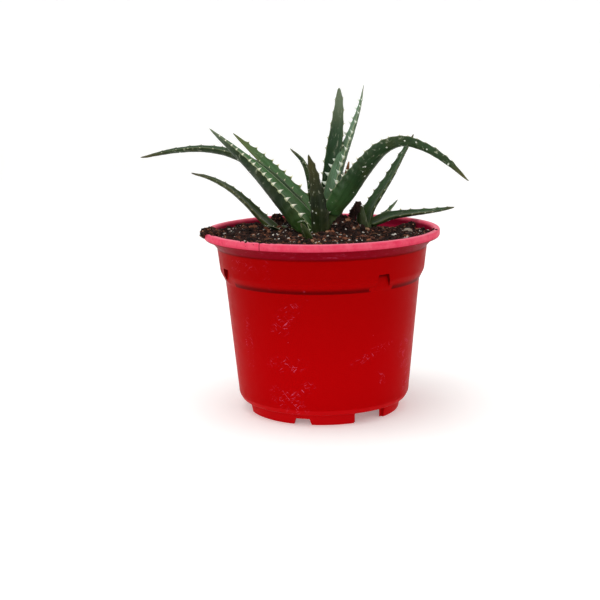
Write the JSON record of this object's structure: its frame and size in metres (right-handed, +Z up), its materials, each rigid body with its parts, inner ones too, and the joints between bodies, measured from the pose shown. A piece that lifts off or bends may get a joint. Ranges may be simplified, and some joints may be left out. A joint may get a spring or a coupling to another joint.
{
  "type": "potted aloe plant",
  "caption": "Small toothed aloe with arching dark green leaves and young offsets, in peaty soil in a tapered red plastic nursery pot with a pink lip.",
  "frame": {"origin": "on the pot's axis, on the flat underside that the pot stands on", "axes": "+Z up along the pot's axis; -Y faces the viewer, so the longest leaf reaches out to -X"},
  "size_m": [0.1675, 0.12, 0.164],
  "materials": {
    "red_plastic": "satin",
    "leaf_green": "satin",
    "leaf_bright": "satin",
    "dry_brown": "matte",
    "peat": "matte",
    "pebble_grey": "matte"
  },
  "bodies": {
    "root": {"pot": "red_plastic", "soil": "peat", "clod_on_rim": "peat", "clod_at_back": "peat", "bark_chunk": "peat", "pebble": "pebble_grey", "dry_stub": "peat", "withered_leaf_scrap": "dry_brown", "main_stem": "leaf_bright", "leaf_front": "leaf_green", "leaf_right_arching": "leaf_green", "leaf_tall_narrow": "leaf_bright", "leaf_tall": "leaf_green", "leaf_small": "leaf_green", "leaf_left_channelled": "leaf_bright", "leaf_left_back": "leaf_green", "leaf_left_long": "leaf_green", "leaf_back_upright": "leaf_green", "leaf_back_low": "leaf_green", "left_offset_stem": "leaf_bright", "left_offset_leaf_long": "leaf_green", "left_offset_leaf_front": "leaf_green", "left_offset_leaf_right": "leaf_green", "right_offset_stem": "leaf_bright", "right_offset_leaf_up": "leaf_green", "right_offset_sheath": "leaf_green", "right_offset_leaf_low": "leaf_green", "right_offset_leaf_tiny": "leaf_green", "front_pup_stem": "leaf_bright", "front_pup_leaf": "leaf_green", "front_pup_leaf_back": "leaf_bright"}
  },
  "joints": []
}
